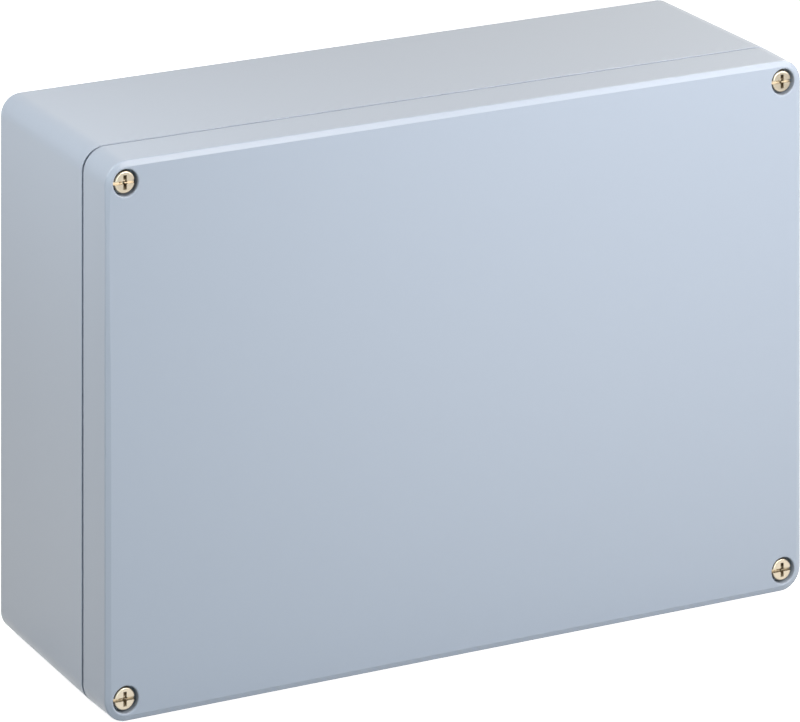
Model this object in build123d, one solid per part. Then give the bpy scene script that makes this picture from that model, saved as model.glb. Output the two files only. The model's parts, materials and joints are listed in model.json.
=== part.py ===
"""Die cast aluminium wall box with a screwed lid, standing on its long side.

+X runs along the box, +Z up and +Y from the lid to the wall side. The origin is at the
middle of the underside. Places on the box's face are written as x and z from its middle.
"""

from build123d import *
import os
from math import radians, tan

# Outer form of the box
box_length = 330.0
box_height = 230.0
box_depth = 112.0
corner_radius = 10.0
front_edge_width = 2.4
front_edge_depth = 1.0
front_blend_radius = 0.7
rear_edge_radius = 1.5
base_draft = 0.7
lid_draft = 1.0

# Parting line between lid and base
lid_depth = 22.0
parting_gap = 1.6
parting_edge_radius = 0.3

# Walls
base_rear_wall = 4.0
lid_front_wall = 4.0
wall_inside_seal = 1.3
core_draft = 1.0
floor_radius = 2.5

# Seal between lid and base
seal_inset = 3.7
seal_corner_radius = 7.0
seal_notch_radius = 6.0
tongue_width = 2.0
tongue_height = 3.7
tongue_edge_radius = 0.5
groove_width = 3.4
groove_depth = 4.6
lid_inner_lip = 1.6
gasket_side_clearance = 0.1
gasket_edge_radius = 0.4

# Lid screws
screw_edge_distance = 9.4
head_diameter = 9.6
head_height = 4.6
head_edge_radius = 1.0
head_below_face = 1.0
slot_width = 1.5
slot_depth = 1.8
recess_length = 6.0
recess_width = 1.5
recess_depth = 2.8
recess_floor_length = 2.4
recess_floor_width = 0.7
neck_diameter = 4.6
thread_diameter = 6.0
thread_end_chamfer = 0.7
thread_engagement = 9.8
screw_travel = 10.0
travel_spare = 0.2

# Fits of the lid screws
screw_seat_clearance = 0.05
thread_clearance = 0.05
neck_clearance = 0.05
pocket_diameter = 11.2
pocket_edge_radius = 0.7
lid_hole_diameter = 6.6
tapped_hole_spare_depth = 4.0
tapped_hole_chamfer = 0.5

# Retaining washers of the lid screws
washer_thickness = 1.0
washer_diameter = 10.0
washer_bore_diameter = 11.0
washer_finger_count = 6
washer_finger_slit = 0.9
washer_finger_length = 1.5
pocket_web = 4.8

# Wall fixing channels beside the lid screws
fixing_to_screw = 15.6
fixing_edge_distance = 10.0
fixing_hole_diameter = 6.5
fixing_wall = 5.0
channel_length = 15.0
channel_width = 12.0
channel_radius = 4.0
channel_to_seal = 2.2
lid_core_inset = 1.5
lid_core_depth = 13.0

# Bosses for a mounting plate and a rail
boss_side_distance = 35.0
boss_diameter = 12.0
boss_height = 8.0
boss_root_radius = 1.5
boss_hole_diameter = 5.0
boss_hole_depth = 9.0

# Earth terminals in base and lid
earth_side_distance = 75.0
earth_bottom_distance = 31.0
earth_boss_diameter = 15.0
base_earth_boss_height = 8.0
lid_earth_boss_height = 5.0
earth_thread_diameter = 5.0
earth_thread_length = 7.0
earth_thread_clearance = 0.05
earth_head_diameter = 9.0
earth_head_height = 3.2
earth_head_edge_radius = 0.6
earth_slot_width = 1.2
earth_slot_depth = 1.6
lock_washer_diameter = 8.8
lock_washer_thickness = 1.2
lock_washer_gap = 1.0
lock_washer_clearance = 0.3
clamp_length = 10.0
clamp_ear_height = 2.6
clamp_thickness = 1.2
clamp_ear_clearance = 0.5
clamp_hole_clearance = 0.3

# Planes across the depth, from the lid's face to the wall side
front_y = -box_depth / 2
rear_y = box_depth / 2
middle_z = box_height / 2
lid_rim_y = front_y + lid_depth
base_rim_y = lid_rim_y + parting_gap
lid_skin_y = front_y + lid_front_wall
floor_y = rear_y - base_rear_wall
tongue_crest_y = base_rim_y - tongue_height
groove_floor_y = lid_rim_y - groove_depth

head_top_y = front_y + head_below_face
head_seat_y = head_top_y + head_height
pocket_floor_y = head_seat_y + screw_seat_clearance
washer_seat_y = pocket_floor_y + pocket_web
washer_front_y = washer_seat_y + screw_seat_clearance
washer_rear_y = washer_front_y + washer_thickness
thread_start_y = washer_rear_y + screw_travel + travel_spare
thread_end_y = base_rim_y + thread_engagement
tapped_hole_end_y = thread_end_y + tapped_hole_spare_depth

# Places on the face, from the middle of the box
screw_x = box_length / 2 - screw_edge_distance
screw_z = box_height / 2 - screw_edge_distance
fixing_x = screw_x - fixing_to_screw
fixing_z = box_height / 2 - fixing_edge_distance
boss_x = box_length / 2 - boss_side_distance
boss_z = box_height / 2 - boss_side_distance
earth_x = -(box_length / 2 - earth_side_distance)
earth_z = -(box_height / 2 - earth_bottom_distance)
corners = {
    "lower_left": (-1, -1),
    "lower_right": (1, -1),
    "upper_left": (-1, 1),
    "upper_right": (1, 1),
}

REARWARD = (0, 1, 0)

# How near an edge or corner lies to the place it is picked by
pick_tolerance = 0.05


def section(y):
    """The plane across the depth at y, seen from the lid's side."""
    return Plane(origin=(0, y, middle_z), x_dir=(1, 0, 0), z_dir=(0, -1, 0))


def prism(profile, start_y, end_y):
    """A straight solid from start_y back to end_y."""
    return extrude(section(start_y) * profile, amount=end_y - start_y, dir=REARWARD)


def drafted(start_profile, start_y, end_profile, end_y):
    """A tapering solid between two profiles."""
    return loft([section(start_y) * start_profile, section(end_y) * end_profile], ruled=True)


def rod(x, z, diameter, start_y, end_y):
    """A round solid along the depth."""
    return prism(Pos(x, z) * Circle(diameter / 2), start_y, end_y)


def front_edges(solid):
    return solid.edges().group_by(Axis.Y)[0]


def rear_edges(solid):
    return solid.edges().group_by(Axis.Y)[-1]


def box_outline(shrink=0.0):
    """The outline of the box, shrunk by the draft."""
    return RectangleRounded(
        box_length - 2 * shrink, box_height - 2 * shrink, corner_radius - shrink
    )


def seal_outline(grow):
    """The area inside the seal's middle line, grown outwards; it passes inside each corner."""
    side_x = box_length / 2 - seal_inset + grow
    side_z = box_height / 2 - seal_inset + grow
    notch_x = fixing_x - channel_length / 2 - channel_to_seal + grow
    notch_z = fixing_z - channel_width / 2 - channel_to_seal + grow
    cross = Rectangle(2 * side_x, 2 * notch_z) + Rectangle(2 * notch_x, 2 * side_z)

    def corner_points(outline, x, z):
        """The outline's points at that distance from both middle lines."""
        return outline.vertices().filter_by(
            lambda point: abs(abs(point.X) - x) + abs(abs(point.Y) - z) < pick_tolerance
        )

    outline = fillet(corner_points(cross, notch_x, notch_z), seal_notch_radius - grow)
    outline = fillet(corner_points(outline, side_x, notch_z), seal_corner_radius + grow)
    return fillet(corner_points(outline, notch_x, side_z), seal_corner_radius + grow)


def seal_ring(width):
    """The band of that width along the seal's middle line."""
    return seal_outline(width / 2) - seal_outline(-width / 2)


def channel_outline(inset=0.0):
    return RectangleRounded(
        channel_length - 2 * inset, channel_width - 2 * inset, channel_radius - inset
    )


def boss(x, z, diameter, foot_y, top_y):
    """A round boss on the base's floor or the lid's skin."""
    return rod(x, z, diameter, min(foot_y, top_y), max(foot_y, top_y))


def boss_feet(casting, foot_y):
    """The edges where round bosses meet the base's floor or the lid's skin."""
    circles = casting.edges().filter_by(GeomType.CIRCLE)
    return [
        edge
        for edge in circles.filter_by(lambda edge: abs(edge.center().Y - foot_y) < pick_tolerance)
        for diameter in {boss_diameter, earth_boss_diameter}
        if abs(edge.radius - diameter / 2) < pick_tolerance
    ]


def base_outside():
    """The base's drafted outer form with the sealing tongue on its rim."""
    rise = (rear_y - base_rim_y) * tan(radians(base_draft))
    block = drafted(box_outline(), base_rim_y, box_outline(rise), rear_y)
    block = fillet(rear_edges(block), rear_edge_radius)
    block = fillet(front_edges(block), parting_edge_radius)
    tongue = prism(seal_ring(tongue_width), tongue_crest_y, base_rim_y + tongue_height)
    return block + fillet(front_edges(tongue), tongue_edge_radius)


def base_cavity():
    """The drafted space inside the base, in front of its floor."""
    rise = (floor_y - base_rim_y) * tan(radians(core_draft))
    mouth = seal_outline(-tongue_width / 2)
    shelf = prism(mouth, tongue_crest_y, base_rim_y)
    core = drafted(
        seal_outline(-wall_inside_seal), base_rim_y, seal_outline(-wall_inside_seal - rise), floor_y
    )
    return shelf + fillet(rear_edges(core), floor_radius)


def base_corner_cuts(x_sign, z_sign):
    """The tapped hole of a lid screw, and the wall fixing channel with its hole."""
    hole_x = x_sign * screw_x
    hole_z = z_sign * screw_z
    tapped_diameter = thread_diameter + 2 * thread_clearance
    tapped = rod(hole_x, hole_z, tapped_diameter, base_rim_y, tapped_hole_end_y)
    mouth = Pos(hole_x, hole_z) * Circle(tapped_diameter / 2 + tapped_hole_chamfer)
    throat = Pos(hole_x, hole_z) * Circle(tapped_diameter / 2)
    countersink = drafted(mouth, base_rim_y, throat, base_rim_y + tapped_hole_chamfer)
    place = Pos(x_sign * fixing_x, z_sign * fixing_z)
    channel_floor_y = rear_y - fixing_wall
    channel = prism(place * channel_outline(), base_rim_y, channel_floor_y)
    hole = prism(place * Circle(fixing_hole_diameter / 2), channel_floor_y, rear_y)
    return [tapped, countersink, channel, hole]


def floor_boss_places():
    """Four bosses for a mounting plate and two, at mid height, for a rail."""
    return [(x_sign * boss_x, row * boss_z) for x_sign in (-1, 1) for row in (-1, 0, 1)]


def base_housing():
    housing = base_outside() - base_cavity()
    boss_top_y = floor_y - boss_height
    earth_top_y = floor_y - base_earth_boss_height
    for x, z in floor_boss_places():
        housing += boss(x, z, boss_diameter, floor_y, boss_top_y)
    housing += boss(earth_x, earth_z, earth_boss_diameter, floor_y, earth_top_y)
    housing = fillet(boss_feet(housing, floor_y), boss_root_radius)
    for x, z in floor_boss_places():
        housing -= rod(x, z, boss_hole_diameter, boss_top_y, boss_top_y + boss_hole_depth)
    housing -= earth_hole(earth_top_y, 1)
    for x_sign, z_sign in corners.values():
        for cut in base_corner_cuts(x_sign, z_sign):
            housing -= cut
    return housing


def lid_outside():
    """The lid's drafted outer form; its front edge is a flat bevel with soft borders."""
    rise = lid_depth * tan(radians(lid_draft))
    cover = drafted(box_outline(rise), front_y, box_outline(), lid_rim_y)
    face = cover.faces().sort_by(Axis.Y)[0]
    cover = chamfer(front_edges(cover), front_edge_width, front_edge_depth, reference=face)
    shoulder_y = front_y + front_edge_depth
    shoulder = cover.edges().filter_by(
        lambda edge: abs(edge.center().Y - shoulder_y) < pick_tolerance
    )
    cover = fillet(front_edges(cover) + shoulder, front_blend_radius)
    return fillet(rear_edges(cover), parting_edge_radius)


def lid_recess():
    """The drafted space inside the lid, behind its skin."""
    lip = groove_width / 2 + lid_inner_lip
    rise = (lid_rim_y - lid_skin_y) * tan(radians(core_draft))
    core = drafted(seal_outline(-lip - rise), lid_skin_y, seal_outline(-lip), lid_rim_y)
    return fillet(front_edges(core), floor_radius)


def lid_corner_cuts(x_sign, z_sign):
    """The screw's pocket, hole and washer bore, and the core over the fixing channel."""
    x = x_sign * screw_x
    z = z_sign * screw_z
    pocket = rod(x, z, pocket_diameter, front_y, pocket_floor_y)
    hole = rod(x, z, lid_hole_diameter, pocket_floor_y, washer_seat_y)
    washer_bore = rod(x, z, washer_bore_diameter, washer_seat_y, lid_rim_y)
    place = Pos(x_sign * fixing_x, z_sign * fixing_z)
    core = prism(place * channel_outline(lid_core_inset), lid_rim_y - lid_core_depth, lid_rim_y)
    return [pocket, hole, washer_bore, core]


def pocket_rims(solid):
    """The round edges of the four screw pockets on the lid's face."""
    rims = solid.edges().filter_by(GeomType.CIRCLE).group_by(Axis.Y)[0]
    return rims.filter_by(lambda edge: abs(edge.radius - pocket_diameter / 2) < pick_tolerance)


def lid():
    cover = lid_outside() - lid_recess()
    cover -= prism(seal_ring(groove_width), groove_floor_y, lid_rim_y)
    earth_top_y = lid_skin_y + lid_earth_boss_height
    cover += boss(earth_x, earth_z, earth_boss_diameter, lid_skin_y, earth_top_y)
    cover = fillet(boss_feet(cover, lid_skin_y), boss_root_radius)
    cover -= earth_hole(earth_top_y, -1)
    for x_sign, z_sign in corners.values():
        for cut in lid_corner_cuts(x_sign, z_sign):
            cover -= cut
    return fillet(pocket_rims(cover), pocket_edge_radius)


def lid_gasket():
    """A flat seal strip that fills the groove down to the tongue's crest."""
    strip = prism(
        seal_ring(groove_width - 2 * gasket_side_clearance), groove_floor_y, tongue_crest_y
    )
    return fillet(rear_edges(strip), gasket_edge_radius)


def recess_wing(x, z, turned):
    """One tapering wing of the cross recess."""
    angle = 90 if turned else 0
    mouth = Pos(x, z) * Rot(0, 0, angle) * Rectangle(recess_length, recess_width)
    bottom = Pos(x, z) * Rot(0, 0, angle) * Rectangle(recess_floor_length, recess_floor_width)
    return drafted(mouth, head_top_y, bottom, head_top_y + recess_depth)


def lid_screw(x, z):
    """Cheese head with slot and cross recess, a reduced neck and a short thread at the end."""
    head = fillet(front_edges(rod(x, z, head_diameter, head_top_y, head_seat_y)), head_edge_radius)
    neck = rod(x, z, neck_diameter, head_seat_y, thread_start_y)
    thread = rod(x, z, thread_diameter, thread_start_y, thread_end_y)
    thread = chamfer(rear_edges(thread) + front_edges(thread), thread_end_chamfer)
    slot_outline = Pos(x, z) * Rectangle(head_diameter, slot_width)
    slot = prism(slot_outline, head_top_y, head_top_y + slot_depth)
    screw = head + neck + thread - slot
    for turned in (False, True):
        screw -= recess_wing(x, z, turned)
    return screw


def retaining_washer(x, z):
    """A push-on washer whose slit bore springs over the thread onto the neck."""
    bore = neck_diameter + 2 * neck_clearance
    washer = rod(x, z, washer_diameter, washer_front_y, washer_rear_y)
    slit_length = bore / 2 + washer_finger_length
    for finger in range(washer_finger_count):
        turn = Rot(0, 0, 360 * finger / washer_finger_count)
        slit = Pos(x, z) * turn * Pos(slit_length / 2, 0) * Rectangle(slit_length, washer_finger_slit)
        washer -= prism(slit, washer_front_y, washer_rear_y)
    return washer - rod(x, z, bore, washer_front_y, washer_rear_y)


def earth_hole(boss_top_y, into):
    """The blind tapped hole of an earth boss; into is the way the screw goes in, along Y."""
    end_y = boss_top_y + into * (earth_thread_length + earth_thread_clearance)
    return stack_rod(earth_thread_diameter + 2 * earth_thread_clearance, boss_top_y, end_y)


def stack_prism(profile, start_y, end_y):
    """A straight solid on the earth terminal's axis, whichever way the terminal faces."""
    return prism(Pos(earth_x, earth_z) * profile, min(start_y, end_y), max(start_y, end_y))


def stack_rod(diameter, start_y, end_y):
    return stack_prism(Circle(diameter / 2), start_y, end_y)


def earth_terminal(boss_top_y, into):
    """Clamp, lock washer and screw, stacked on a boss; into is the way the screw goes in."""
    plate_y = boss_top_y - into * clamp_thickness
    washer_y = plate_y - into * lock_washer_thickness
    head_y = washer_y - into * earth_head_height
    tip_y = boss_top_y + into * earth_thread_length

    clamp_width = earth_head_diameter + 2 * (clamp_ear_clearance + clamp_thickness)
    clamp = stack_prism(Rectangle(clamp_width, clamp_length), boss_top_y, plate_y)
    ear_place = (clamp_width - clamp_thickness) / 2
    for side in (-1, 1):
        ear = Pos(side * ear_place, 0) * Rectangle(clamp_thickness, clamp_length)
        clamp += stack_prism(ear, boss_top_y, plate_y - into * clamp_ear_height)
    clamp -= stack_rod(earth_thread_diameter + 2 * clamp_hole_clearance, boss_top_y, plate_y)

    split = Pos(0, lock_washer_diameter / 4) * Rectangle(lock_washer_gap, lock_washer_diameter / 2)
    lock_washer = stack_rod(lock_washer_diameter, plate_y, washer_y)
    lock_washer -= stack_rod(earth_thread_diameter + 2 * lock_washer_clearance, plate_y, washer_y)
    lock_washer -= stack_prism(split, plate_y, washer_y)

    head = stack_rod(earth_head_diameter, washer_y, head_y)
    outer_edges = front_edges(head) if into > 0 else rear_edges(head)
    head = fillet(outer_edges, earth_head_edge_radius)
    slot = Rectangle(earth_head_diameter, earth_slot_width)
    head -= stack_prism(slot, head_y, head_y + into * earth_slot_depth)
    screw = head + stack_rod(earth_thread_diameter, washer_y, tip_y)
    return {"earth_clamp": clamp, "earth_lock_washer": lock_washer, "earth_screw": screw}


def all_parts():
    parts = {"base_housing": base_housing(), "lid": lid(), "lid_gasket": lid_gasket()}
    for corner, (x_sign, z_sign) in corners.items():
        parts[f"lid_screw_{corner}"] = lid_screw(x_sign * screw_x, z_sign * screw_z)
        parts[f"retaining_washer_{corner}"] = retaining_washer(x_sign * screw_x, z_sign * screw_z)
    for name, piece in earth_terminal(floor_y - base_earth_boss_height, 1).items():
        parts[f"base_{name}"] = piece
    for name, piece in earth_terminal(lid_skin_y + lid_earth_boss_height, -1).items():
        parts[f"lid_{name}"] = piece
    return parts


os.makedirs("parts", exist_ok=True)
for node, shape in all_parts().items():
    export_step(shape, f"parts/{node}.step")
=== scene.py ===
"""Looks of the die cast aluminium wall box: coat, bare machined faces, threads, light, camera.

Sizes are in metres and places are in the part's frame: +X along the box, +Z up, +Y from the
lid to the wall side, with the origin at the middle of the underside.
"""

import bmesh
import bpy
import json
from math import cos, pi, radians, sin
from mathutils import Matrix, Vector


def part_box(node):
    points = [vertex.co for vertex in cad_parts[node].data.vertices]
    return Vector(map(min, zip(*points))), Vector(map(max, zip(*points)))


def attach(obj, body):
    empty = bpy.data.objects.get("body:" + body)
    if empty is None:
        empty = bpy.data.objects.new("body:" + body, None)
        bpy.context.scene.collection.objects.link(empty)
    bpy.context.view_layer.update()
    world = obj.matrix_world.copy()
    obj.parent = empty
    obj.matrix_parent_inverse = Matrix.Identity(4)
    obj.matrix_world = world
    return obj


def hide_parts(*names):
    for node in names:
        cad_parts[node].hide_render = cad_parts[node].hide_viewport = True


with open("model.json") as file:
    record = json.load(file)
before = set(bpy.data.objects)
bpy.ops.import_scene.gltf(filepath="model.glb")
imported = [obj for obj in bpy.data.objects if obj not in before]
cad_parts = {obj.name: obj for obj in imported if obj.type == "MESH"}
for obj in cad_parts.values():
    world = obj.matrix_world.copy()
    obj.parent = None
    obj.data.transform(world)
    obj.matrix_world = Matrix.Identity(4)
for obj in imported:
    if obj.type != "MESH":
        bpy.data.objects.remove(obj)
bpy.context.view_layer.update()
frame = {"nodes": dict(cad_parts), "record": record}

MM = 0.001
nodes = frame["nodes"]
corners = {
    "lower_left": (-1, -1),
    "lower_right": (1, -1),
    "upper_left": (-1, 1),
    "upper_right": (1, 1),
}

# Places taken from the frame
lid_low, lid_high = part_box("lid")
screw_low, screw_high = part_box("lid_screw_upper_right")
washer_rear_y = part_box("retaining_washer_upper_right")[1].y
earth_low, earth_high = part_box("base_earth_screw")
middle_z = (lid_low.z + lid_high.z) / 2
lid_rim_y = lid_high.y
half_depth = -lid_low.y
screw_x = (screw_low.x + screw_high.x) / 2
screw_rise = (screw_low.z + screw_high.z) / 2 - middle_z
earth_x = (earth_low.x + earth_high.x) / 2
earth_z = (earth_low.z + earth_high.z) / 2

# Threads of the lid screws, which start behind their washers by the screws' travel and a little more
screw_travel = 10.0 * MM
travel_spare = 0.2 * MM
thread_start_y = washer_rear_y + screw_travel + travel_spare
thread_length = screw_high.y - thread_start_y
thread_pitch = 1.0 * MM
thread_core_radius = 2.42 * MM
thread_height = 0.52 * MM
thread_crest = 0.16 * MM
thread_root = 0.84 * MM
thread_sunk = 0.04 * MM
thread_run_out_turns = 0.3
thread_end_share = 0.05
thread_steps_per_turn = 40
soft_edge_angle = radians(30)
weld_distance = 0.001 * MM
quarter_turn = pi / 2

# Places cut after coating, each a little wider than its hole, and the tops of the earth bosses
tapped_hole_radius = 3.7 * MM
floor_boss_x = 130 * MM
floor_boss_rise = 80 * MM
floor_boss_hole_radius = 2.7 * MM
earth_face_radius = 7.3 * MM

# Depth under the front and rear faces that stays coated
outer_skin = 2.5 * MM

# Rings that turning leaves on the lid screws' heads
turning_groove = 0.09 * MM

# Camera, as the photograph was framed: it looks level, and its line of sight meets the
# picture's plane at the vanishing column and row, far above the picture
photo_width = 800
photo_height = 722
camera_place = Vector((-1.16423, -2.29579, 0.97202))
camera_turn = radians(27.28369)
focal_pixels = 6003.406
vanishing_column = 444.953
vanishing_row = -1655.874
sensor_width = 36.0
camera_reach = 100.0

# White room
room_ambient = 0.02
floor_half_side = 6.0
floor_glow = 0.9


def from_srgb(red, green, blue):
    """A colour given by its screen values from 0 to 255, made linear."""
    def linear(value):
        share = value / 255
        return share / 12.92 if share <= 0.04045 else ((share + 0.055) / 1.055) ** 2.4
    return (linear(red), linear(green), linear(blue), 1.0)


COAT_COLOUR = from_srgb(172, 182, 197)
BARE_CASTING = from_srgb(196, 196, 192)
STAINLESS = from_srgb(178, 168, 150)
SPRING_STEEL = from_srgb(182, 182, 180)
ZINC_PLATE = from_srgb(208, 203, 190)
RUBBER = from_srgb(34, 34, 35)
FLOOR_BOUNCE = from_srgb(150, 150, 150)
FLOOR_PAINT = from_srgb(228, 228, 228)
WHITE = (1.0, 1.0, 1.0, 1.0)

COAT_ROUGHNESS = 0.32
BARE_ROUGHNESS = 0.4


class NodeWork:
    """A node tree under construction, with short ways to add and join its nodes."""

    def __init__(self, tree):
        self.tree = tree

    def add(self, kind, **settings):
        node = self.tree.nodes.new(kind)
        for setting, value in settings.items():
            setattr(node, setting, value)
        return node

    def feed(self, socket, value):
        """Joins a socket to another, or sets its value."""
        if isinstance(value, bpy.types.NodeSocket):
            self.tree.links.new(value, socket)
        else:
            socket.default_value = value

    def made(self, kind, inputs, **settings):
        """Adds a node, feeds its named inputs and gives its first output."""
        node = self.add(kind, **settings)
        for name, value in inputs.items():
            self.feed(node.inputs[name], value)
        return node.outputs[0]

    def made_of(self, kind, *values, **settings):
        """Adds a node, feeds its inputs in their order and gives its first output."""
        node = self.add(kind, **settings)
        for socket, value in zip(node.inputs, values):
            self.feed(socket, value)
        return node.outputs[0]

    def math(self, operation, *values):
        return self.made_of("ShaderNodeMath", *values, operation=operation)


class Shader(NodeWork):
    """A surface material."""

    def __init__(self, name, colour, metallic, roughness):
        self.material = bpy.data.materials.new(name)
        self.material.use_nodes = True
        super().__init__(self.material.node_tree)
        self.surface = self.tree.nodes["Principled BSDF"]
        self.surface.inputs["Base Color"].default_value = colour
        self.surface.inputs["Metallic"].default_value = metallic
        self.surface.inputs["Roughness"].default_value = roughness
        self.material.diffuse_color = colour

    def place(self):
        return self.add("ShaderNodeTexCoord").outputs["Object"]

    def along(self, axis):
        split = self.add("ShaderNodeSeparateXYZ")
        self.feed(split.inputs[0], self.place())
        return split.outputs[axis]

    def noise(self, grain, detail=2.0):
        """Noise whose patches are about one grain wide."""
        return self.made(
            "ShaderNodeTexNoise", {"Vector": self.place(), "Scale": 1 / grain, "Detail": detail}
        )

    def bump(self, height, depth):
        """Relief of a real depth, from a height given as a share of it."""
        return self.made("ShaderNodeBump", {"Height": height, "Strength": 1.0, "Distance": depth})

    def spread(self, value, low, high):
        """Turns 0...1 into low...high."""
        return self.made("ShaderNodeMapRange", {"Value": value, "To Min": low, "To Max": high})

    def blend(self, share, colour, other):
        """Turns from one colour into the other as the share goes from 0 to 1."""
        mix = self.add("ShaderNodeMix", data_type="RGBA")
        sockets = {socket.identifier: socket for socket in mix.inputs}
        self.feed(sockets["Factor_Float"], share)
        self.feed(sockets["A_Color"], colour)
        self.feed(sockets["B_Color"], other)
        return next(socket for socket in mix.outputs if socket.identifier == "Result_Color")

    def wear(self, **inputs):
        """Feeds the surface's own inputs; an underscore stands for a space."""
        for name, value in inputs.items():
            self.feed(self.surface.inputs[name.replace("_", " ")], value)

    def four_axes_distance(self, x, rise):
        """Distance from the axes along Y that lie at +-x and, about mid height, at +-rise."""
        across = self.math("SUBTRACT", self.math("ABSOLUTE", self.along("X")), x)
        from_middle = self.math("ABSOLUTE", self.math("SUBTRACT", self.along("Z"), middle_z))
        return self.length(across, self.math("SUBTRACT", from_middle, rise))

    def axis_distance(self, x, z):
        """Distance from the one axis along Y at x and z."""
        across = self.math("SUBTRACT", self.along("X"), x)
        return self.length(across, self.math("SUBTRACT", self.along("Z"), z))

    def length(self, across, along):
        squares = [self.math("MULTIPLY", side, side) for side in (across, along)]
        return self.math("SQRT", self.math("ADD", *squares))

    def below(self, value, limit):
        return self.math("LESS_THAN", value, limit)

    def above(self, value, limit):
        return self.math("GREATER_THAN", value, limit)


def machined_places(coat):
    """1 where the casting was cut after coating: tapped holes, boss holes and earth faces."""
    depth = coat.along("Y")
    behind_rim = coat.above(depth, lid_rim_y)
    inside_skin = coat.below(coat.math("ABSOLUTE", depth), half_depth - outer_skin)
    near_screws = coat.below(coat.four_axes_distance(screw_x, screw_rise), tapped_hole_radius)
    near_corner_bosses = coat.below(
        coat.four_axes_distance(floor_boss_x, floor_boss_rise), floor_boss_hole_radius
    )
    near_rail_bosses = coat.below(coat.four_axes_distance(floor_boss_x, 0.0), floor_boss_hole_radius)
    near_earth = coat.below(coat.axis_distance(earth_x, earth_z), earth_face_radius)
    near_bosses = coat.math("MAXIMUM", near_corner_bosses, near_rail_bosses)
    bores = coat.math("MULTIPLY", coat.math("MAXIMUM", near_screws, near_bosses), behind_rim)
    return coat.math("MULTIPLY", coat.math("MAXIMUM", bores, near_earth), inside_skin)


def coated_casting():
    """Smooth semi-gloss powder coat with a faint orange peel, and bare metal where it was cut."""
    coat = Shader("coated_casting", COAT_COLOUR, metallic=0.0, roughness=COAT_ROUGHNESS)
    bare = machined_places(coat)
    coat.wear(
        Base_Color=coat.blend(bare, COAT_COLOUR, BARE_CASTING),
        Metallic=bare,
        Roughness=coat.spread(bare, COAT_ROUGHNESS, BARE_ROUGHNESS),
        Normal=coat.bump(coat.noise(grain=2.2 * MM), depth=0.012 * MM),
    )
    return coat.material


def turned_stainless():
    """Turned stainless steel, with fine rings round each screw's axis."""
    steel = Shader("stainless_screw", STAINLESS, metallic=1.0, roughness=0.3)
    radius = steel.four_axes_distance(screw_x, screw_rise)
    rings = steel.math("SINE", steel.math("MULTIPLY", radius, 2 * pi / turning_groove))
    steel.wear(Normal=steel.bump(rings, depth=0.0015 * MM))
    return steel.material


def stamped_steel():
    steel = Shader("spring_washer", SPRING_STEEL, metallic=1.0, roughness=0.35)
    steel.wear(Normal=steel.bump(steel.noise(grain=0.8 * MM), depth=0.004 * MM))
    return steel.material


def plated_steel():
    """Zinc plate: slightly yellow, with a soft crystalline unevenness."""
    steel = Shader("plated_steel", ZINC_PLATE, metallic=1.0, roughness=0.34)
    steel.wear(Roughness=steel.spread(steel.noise(grain=1.5 * MM), 0.28, 0.42))
    return steel.material


def seal_rubber():
    rubber = Shader("seal_rubber", RUBBER, metallic=0.0, roughness=0.7)
    rubber.wear(Normal=rubber.bump(rubber.noise(grain=0.6 * MM, detail=4.0), depth=0.02 * MM))
    return rubber.material


def dress_frame(materials):
    """Gives each CAD node the material of its record slot."""
    for part in frame["record"]["subparts"]:
        slots = nodes[part["node"]].data.materials
        slots.clear()
        slots.append(materials[part["material_slot"]])


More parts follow.
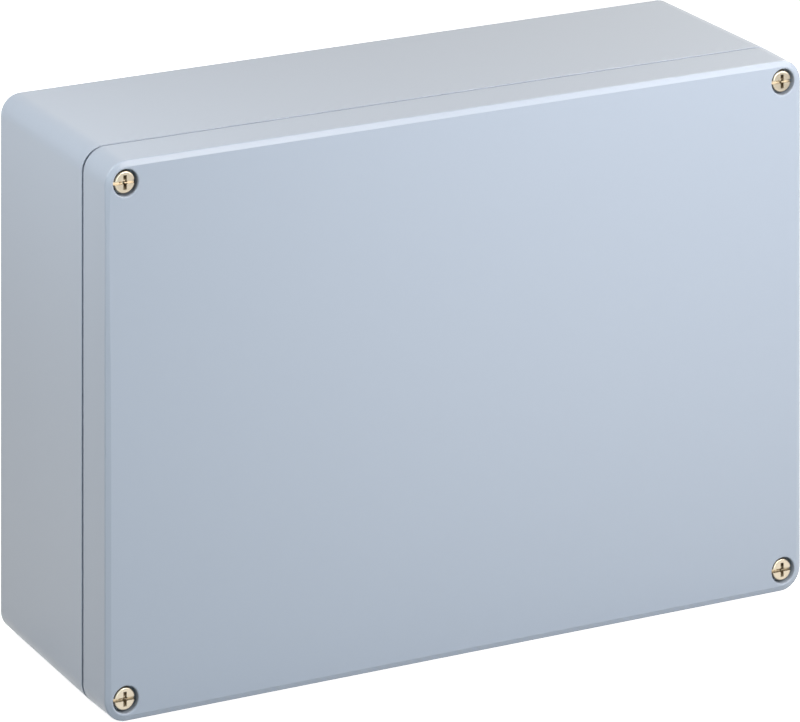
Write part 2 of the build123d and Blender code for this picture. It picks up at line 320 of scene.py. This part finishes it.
class ThreadTree(NodeWork):
    """Geometry Nodes that put a thread's core and ridge on the end of a screw's shank."""

    SIZES = ("Core Radius", "Pitch", "Length", "Height", "Crest", "Root", "Sunk", "Run Out Turns")

    def __init__(self):
        super().__init__(bpy.data.node_groups.new("screw_thread", "GeometryNodeTree"))
        sockets = {"Shank": "NodeSocketGeometry", "Start": "NodeSocketVector"}
        sockets.update({name: "NodeSocketFloat" for name in self.SIZES})
        sockets.update({"Steps Per Turn": "NodeSocketInt", "Steel": "NodeSocketMaterial"})
        self.identifiers = {
            name: self.tree.interface.new_socket(name, in_out="INPUT", socket_type=kind).identifier
            for name, kind in sockets.items()
        }
        self.tree.interface.new_socket("Screw", in_out="OUTPUT", socket_type="NodeSocketGeometry")
        self.given = self.add("NodeGroupInput").outputs
        thread = self.turned_to_depth(self.joined(self.helix(), self.core()))
        screw = self.soft_shaded(self.joined(self.given["Shank"], thread))
        screw = self.made("GeometryNodeRealizeInstances", {"Geometry": screw})
        screw = self.made("GeometryNodeSetMaterial", {"Geometry": screw, "Material": self.given["Steel"]})
        self.feed(self.add("NodeGroupOutput").inputs["Screw"], screw)

    def joined(self, *pieces):
        node = self.add("GeometryNodeJoinGeometry")
        for piece in pieces:
            self.tree.links.new(piece, node.inputs[0])
        return node.outputs[0]

    def point(self, x, y, z):
        return self.made("ShaderNodeCombineXYZ", {"X": x, "Y": y, "Z": z})

    def moved(self, geometry, place):
        return self.made("GeometryNodeTransform", {"Geometry": geometry, "Translation": place})

    def ridge_profile(self):
        """The ridge's section, from its sunk foot to its crest along the path's normal."""
        given = self.given
        height = self.math("ADD", given["Height"], given["Sunk"])
        section = self.made(
            "GeometryNodeCurvePrimitiveQuadrilateral",
            {
                "Height": height,
                "Bottom Width": given["Root"],
                "Top Width": given["Crest"],
                "Offset": 0.0,
            },
            mode="TRAPEZOID",
        )
        along_normal = self.made(
            "GeometryNodeTransform", {"Geometry": section, "Rotation": (0.0, 0.0, -quarter_turn)}
        )
        middle = self.math("SUBTRACT", self.math("DIVIDE", height, 2.0), given["Sunk"])
        return self.moved(along_normal, self.point(middle, 0.0, 0.0))

    def helix(self):
        """The ridge, wound round the core and running out at both ends.

        The spiral winds clockwise as it rises, so the thread is left-handed and the ridge's
        crest points into the core. The spiral's Reverse input would turn both round.
        """
        given = self.given
        rise = self.math("SUBTRACT", given["Length"], given["Root"])
        turns = self.math("DIVIDE", rise, given["Pitch"])
        path = self.made("GeometryNodeCurveSpiral", {
            "Resolution": given["Steps Per Turn"],
            "Rotations": turns,
            "Start Radius": given["Core Radius"],
            "End Radius": given["Core Radius"],
            "Height": rise,
        })
        path = self.made("GeometryNodeSetCurveNormal", {"Curve": path}, mode="Z_UP")
        done = self.made("GeometryNodeSplineParameter", {})
        to_end = self.math("MINIMUM", done, self.math("SUBTRACT", 1.0, done))
        turns_to_end = self.math("DIVIDE", self.math("MULTIPLY", to_end, turns), given["Run Out Turns"])
        share = self.math("MINIMUM", self.math("MAXIMUM", turns_to_end, thread_end_share), 1.0)
        ridge = self.made("GeometryNodeCurveToMesh", {
            "Curve": path, "Profile Curve": self.ridge_profile(), "Scale": share, "Fill Caps": True,
        })
        return self.moved(ridge, self.point(0.0, 0.0, self.math("DIVIDE", given["Root"], 2.0)))

    def core(self):
        given = self.given
        rod = self.made("GeometryNodeMeshCylinder", {
            "Vertices": given["Steps Per Turn"], "Radius": given["Core Radius"], "Depth": given["Length"],
        })
        return self.moved(rod, self.point(0.0, 0.0, self.math("DIVIDE", given["Length"], 2.0)))

    def turned_to_depth(self, thread):
        """Lays the thread's axis along +Y, from its start backwards."""
        return self.made("GeometryNodeTransform", {
            "Geometry": thread,
            "Translation": self.given["Start"],
            "Rotation": (-quarter_turn, 0.0, 0.0),
        })

    def soft_shaded(self, geometry):
        """Smooth faces, with the sharp edges kept sharp."""
        smooth = self.made("GeometryNodeSetShadeSmooth", {"Geometry": geometry, "Shade Smooth": True})
        bend = self.made("GeometryNodeInputMeshEdgeAngle", {})
        sharp = self.made(
            "FunctionNodeCompare", {"A": bend, "B": soft_edge_angle}, data_type="FLOAT",
            operation="GREATER_THAN",
        )
        return self.made(
            "GeometryNodeSetShadeSmooth",
            {"Geometry": smooth, "Selection": sharp, "Shade Smooth": False},
            domain="EDGE",
        )


def plain_shank(node):
    """A welded copy of the lid screw's head and neck, cut off and closed where its thread starts."""
    shank = bmesh.new()
    shank.from_mesh(nodes[node].data)
    bmesh.ops.remove_doubles(shank, verts=shank.verts[:], dist=weld_distance)
    everything = shank.verts[:] + shank.edges[:] + shank.faces[:]
    bmesh.ops.bisect_plane(
        shank, geom=everything, plane_co=(0.0, thread_start_y, 0.0), plane_no=(0.0, 1.0, 0.0),
        clear_outer=True,
    )
    rim = [edge for edge in shank.edges if edge.is_boundary]
    bmesh.ops.edgeloop_fill(shank, edges=rim)
    bmesh.ops.recalc_face_normals(shank, faces=shank.faces[:])
    mesh = bpy.data.meshes.new(node)
    shank.to_mesh(mesh)
    shank.free()
    return mesh


def threaded_lid_screws(steel):
    """The four lid screws, with a thread's core and ridge in place of the frame's smooth rods."""
    thread = ThreadTree()
    for corner, (x_sign, z_sign) in corners.items():
        node = f"lid_screw_{corner}"
        screw = bpy.data.objects.new(f"threaded_{node}", plain_shank(node))
        bpy.context.scene.collection.objects.link(screw)
        modifier = screw.modifiers.new("thread", "NODES")
        modifier.node_group = thread.tree
        sizes = {
            "Start": (x_sign * screw_x, thread_start_y, middle_z + z_sign * screw_rise),
            "Core Radius": thread_core_radius,
            "Pitch": thread_pitch,
            "Length": thread_length,
            "Height": thread_height,
            "Crest": thread_crest,
            "Root": thread_root,
            "Sunk": thread_sunk,
            "Run Out Turns": thread_run_out_turns,
            "Steps Per Turn": thread_steps_per_turn,
            "Steel": steel,
        }
        for name, value in sizes.items():
            modifier[thread.identifiers[name]] = value
        baked = bpy.data.meshes.new_from_object(
            screw.evaluated_get(bpy.context.evaluated_depsgraph_get())
        )
        screw.modifiers.clear()
        screw.data = baked
        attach(screw, f"screw_{corner}")
        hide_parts(node)


def softbox(name, place, aim, size, power, colour):
    """A square lamp that lights the box and isn't seen itself."""
    light = bpy.data.lights.new(name, "AREA")
    light.shape = "SQUARE"
    light.size = size
    light.energy = power
    light.color = colour
    lamp = bpy.data.objects.new(name, light)
    lamp.location = place
    lamp.rotation_euler = (Vector(aim) - Vector(place)).to_track_quat("-Z", "Y").to_euler()
    lamp.visible_camera = False
    bpy.context.scene.collection.objects.link(lamp)
    return lamp


def studio_lights():
    """Two softboxes close to the face, one over each end, one low in front and one behind."""
    softbox(
        "face_softbox", place=(0.05, -0.5, 0.45), aim=(0.0, -0.05, 0.15),
        size=0.3, power=1.95, colour=(1.05, 1.0, 0.97),
    )
    softbox(
        "right_softbox", place=(0.4, -0.4, 0.36), aim=(0.1, -0.05, 0.15),
        size=0.3, power=1.48, colour=(1.01, 1.0, 0.99),
    )
    softbox(
        "low_softbox", place=(-0.3, -1.4, 0.15), aim=(0.0, 0.0, 0.12),
        size=0.6, power=5.3, colour=(0.84, 1.05, 1.11),
    )
    softbox(
        "left_end_softbox", place=(-0.44, 0.0, 0.46), aim=(-0.165, 0.0, 0.2),
        size=0.3, power=1.66, colour=(1.0, 1.02, 1.01),
    )
    softbox(
        "right_end_softbox", place=(0.5, 0.1, 0.6), aim=(0.1, 0.0, 0.2),
        size=0.4, power=2.35, colour=(1.1, 1.02, 0.88),
    )
    rear = softbox(
        "rear_softbox", place=(0.2, 1.2, 0.2), aim=(0.0, 0.05, 0.12),
        size=0.5, power=4.0, colour=(1.0, 1.0, 1.0),
    )
    rear.visible_glossy = False


def seen_and_lighting(work, seen, lighting):
    """One shader for rays from the camera, a mirror or glass, the other for the light it gives."""
    path = work.add("ShaderNodeLightPath").outputs
    direct = work.math("MAXIMUM", path["Is Camera Ray"], path["Is Glossy Ray"])
    direct = work.math("MAXIMUM", direct, path["Is Transmission Ray"])
    return work.made_of("ShaderNodeMixShader", direct, lighting, seen)


def white_room():
    """A world that is white to look at and lights the box at a plain level."""
    world = bpy.data.worlds.new("white_room")
    world.use_nodes = True
    work = NodeWork(world.node_tree)
    lighting = work.tree.nodes["Background"]
    work.feed(lighting.inputs["Color"], WHITE)
    work.feed(lighting.inputs["Strength"], room_ambient)
    seen = work.made("ShaderNodeBackground", {"Color": WHITE, "Strength": 1.0})
    room = seen_and_lighting(work, seen, lighting.outputs[0])
    work.feed(work.tree.nodes["World Output"].inputs["Surface"], room)
    bpy.context.scene.world = world


def pale_floor():
    """Glowing white paint to look at, which keeps a shadow, and a darker grey in its bounced light."""
    material = bpy.data.materials.new("pale_floor")
    material.use_nodes = True
    work = NodeWork(material.node_tree)
    work.tree.nodes.remove(work.tree.nodes["Principled BSDF"])
    lighting = work.made("ShaderNodeBsdfDiffuse", {"Color": FLOOR_BOUNCE})
    paint = work.made("ShaderNodeBsdfDiffuse", {"Color": FLOOR_PAINT})
    glow = work.made("ShaderNodeEmission", {"Color": WHITE, "Strength": floor_glow})
    seen = work.made_of("ShaderNodeAddShader", paint, glow)
    surface = seen_and_lighting(work, seen, lighting)
    work.feed(work.tree.nodes["Material Output"].inputs["Surface"], surface)
    return material


def white_floor():
    """The floor under the box, which looks white and keeps a faint shadow of the box."""
    half = floor_half_side
    mesh = bpy.data.meshes.new("floor")
    sides = [(-half, -half, 0), (half, -half, 0), (half, half, 0), (-half, half, 0)]
    mesh.from_pydata(sides, [], [(0, 1, 2, 3)])
    mesh.materials.append(pale_floor())
    floor = bpy.data.objects.new("floor", mesh)
    bpy.context.scene.collection.objects.link(floor)


def photo_camera():
    """The photograph's camera.

    It stands above the box, yet the photograph keeps upright edges upright, as a lens shifted
    by nearly three picture heights would. Such a shift would throw the box out of other views,
    so the camera hangs on a stand whose matrix is skewed instead.
    """
    right = Vector((cos(camera_turn), -sin(camera_turn), 0.0))
    up = Vector((0.0, 0.0, 1.0))
    level = Vector((sin(camera_turn), cos(camera_turn), 0.0))
    to_picture_middle = (
        level * focal_pixels
        + right * (photo_width / 2 - vanishing_column)
        - up * (photo_height / 2 - vanishing_row)
    )
    back = -to_picture_middle.normalized()
    skewed = Matrix((
        (right.x, up.x, back.x, camera_place.x),
        (right.y, up.y, back.y, camera_place.y),
        (right.z, up.z, back.z, camera_place.z),
        (0.0, 0.0, 0.0, 1.0),
    ))
    data = bpy.data.cameras.new("photo_camera")
    data.sensor_width = sensor_width
    data.lens = sensor_width * to_picture_middle.length / photo_width
    data.clip_end = camera_reach
    camera = bpy.data.objects.new("photo_camera", data)
    stand = bpy.data.objects.new("camera_stand", None)
    for item in (camera, stand):
        bpy.context.scene.collection.objects.link(item)
    camera.parent = stand
    camera.matrix_parent_inverse = skewed
    bpy.context.scene.camera = camera


materials = {
    "coated_casting": coated_casting(),
    "stainless_screw": turned_stainless(),
    "spring_washer": stamped_steel(),
    "seal_rubber": seal_rubber(),
    "plated_steel": plated_steel(),
}
dress_frame(materials)
threaded_lid_screws(materials["stainless_screw"])
white_room()
white_floor()
studio_lights()
photo_camera()
bpy.context.scene.view_settings.view_transform = "Standard"
